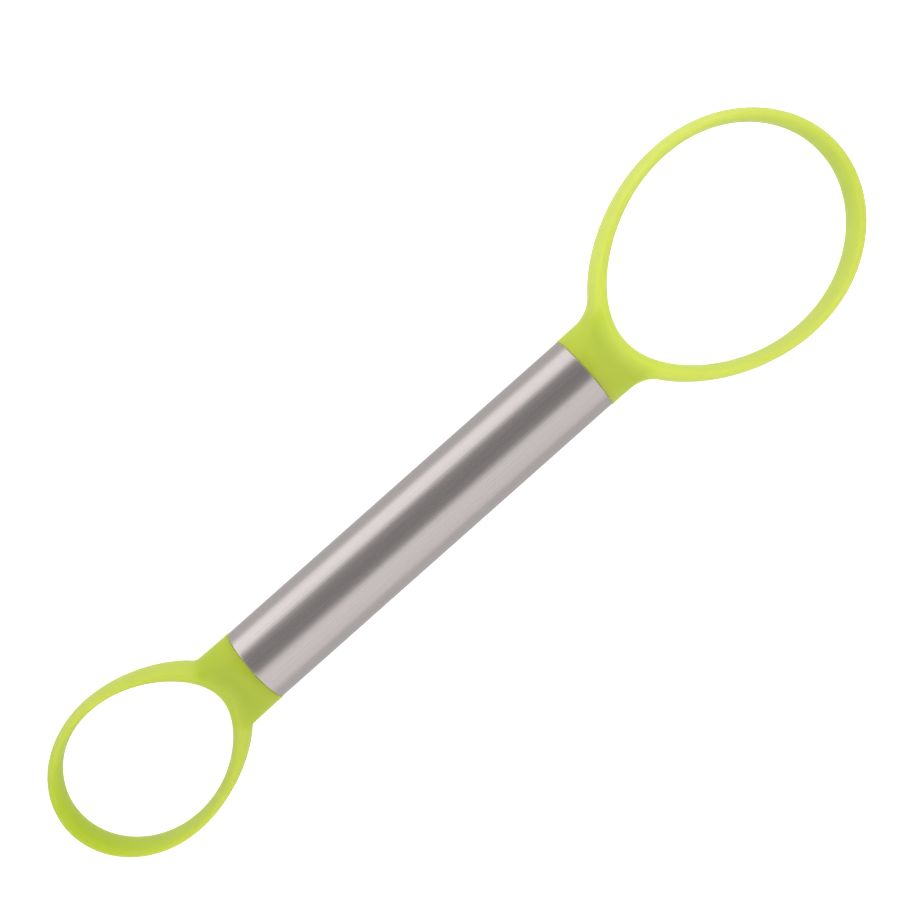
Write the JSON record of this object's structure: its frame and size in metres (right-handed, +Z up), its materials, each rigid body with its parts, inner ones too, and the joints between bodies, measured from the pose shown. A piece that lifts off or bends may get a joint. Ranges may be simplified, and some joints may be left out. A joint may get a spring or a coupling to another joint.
{
  "type": "fruit corer",
  "caption": "Hand-held fruit corer: a straight brushed steel tube handle with an egg-shaped plastic scooping loop at each end, large at one end and small at the other.",
  "frame": {"origin": "on the tube's axis, half way between the outsides of the two loop tips", "axes": "+X along the handle toward the large loop, +Y across the loops, +Z up, square to the plane of the loops"},
  "size_m": [0.2234, 0.0538, 0.0182],
  "materials": {
    "brushed_tube": "fine brushing along the tube",
    "lime_plastic": "smooth satin moulding, slightly translucent where thin",
    "cured_adhesive": "cured, dull"
  },
  "bodies": {
    "root": {"handle_tube": "brushed_tube", "large_loop_head": "lime_plastic", "small_loop_head": "lime_plastic", "large_adhesive_ring": "cured_adhesive", "small_adhesive_ring": "cured_adhesive"}
  },
  "joints": []
}
